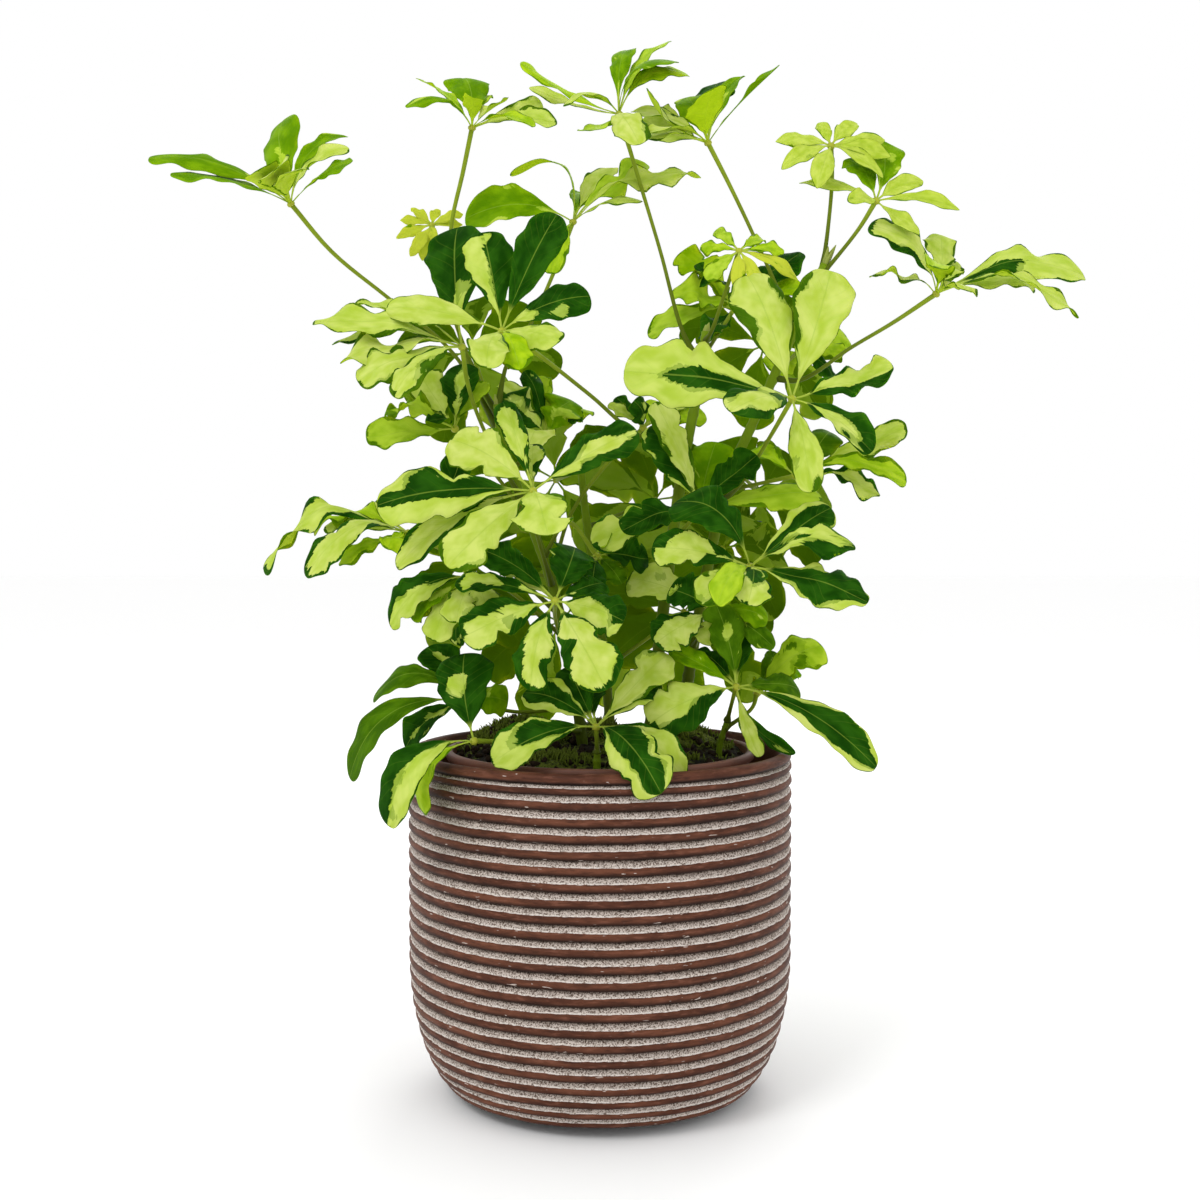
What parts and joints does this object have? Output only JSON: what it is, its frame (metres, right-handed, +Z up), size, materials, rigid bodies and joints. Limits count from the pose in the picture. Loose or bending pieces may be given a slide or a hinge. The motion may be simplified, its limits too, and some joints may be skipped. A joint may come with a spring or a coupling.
{
  "type": "potted umbrella plant",
  "caption": "Houseplant with umbrella-like leaves of cream and green blades on upright stems, in a nursery pot inside a horizontally ribbed brown cover pot.",
  "frame": {"origin": "centre of the cover pot's flat base, on the surface it stands on", "axes": "+Z up along the pot's axis, the side seen in the picture faces -Y"},
  "size_m": [0.4585, 0.265, 0.5316],
  "materials": {
    "cover_pot": "satin brown ribs, rough sandy grey grooves",
    "nursery_pot": "matt",
    "soil": "rough and crumbly, with moss",
    "stem": "dull olive bark",
    "leaf": "satin, cream and lime with green patches"
  },
  "bodies": {
    "root": {"cover_pot": "cover_pot", "nursery_pot": "nursery_pot", "soil": "soil", "stem_centre": "stem", "stem_right": "stem", "stem_left": "stem", "stem_back": "stem", "shoot_front": "stem", "shoot_right": "stem", "leaf_01": "leaf", "leaf_02": "leaf", "leaf_03": "leaf", "leaf_04": "leaf", "leaf_05": "leaf", "leaf_06": "leaf", "leaf_07": "leaf", "leaf_08": "leaf", "leaf_09": "leaf", "leaf_10": "leaf", "leaf_11": "leaf", "leaf_12": "leaf", "leaf_13": "leaf", "leaf_14": "leaf", "leaf_15": "leaf", "leaf_16": "leaf", "leaf_17": "leaf", "leaf_18": "leaf", "leaf_19": "leaf", "leaf_20": "leaf", "leaf_21": "leaf", "leaf_22": "leaf", "leaf_23": "leaf", "leaf_24": "leaf", "leaf_25": "leaf", "leaf_26": "leaf", "leaf_27": "leaf", "leaf_28": "leaf", "leaf_29": "leaf", "leaf_30": "leaf", "leaf_31": "leaf", "leaf_32": "leaf", "leaf_33": "leaf", "leaf_34": "leaf", "leaf_35": "leaf", "leaf_36": "leaf", "leaf_37": "leaf", "leaf_38": "leaf", "leaf_39": "leaf", "leaf_40": "leaf", "leaf_41": "leaf"}
  },
  "joints": []
}
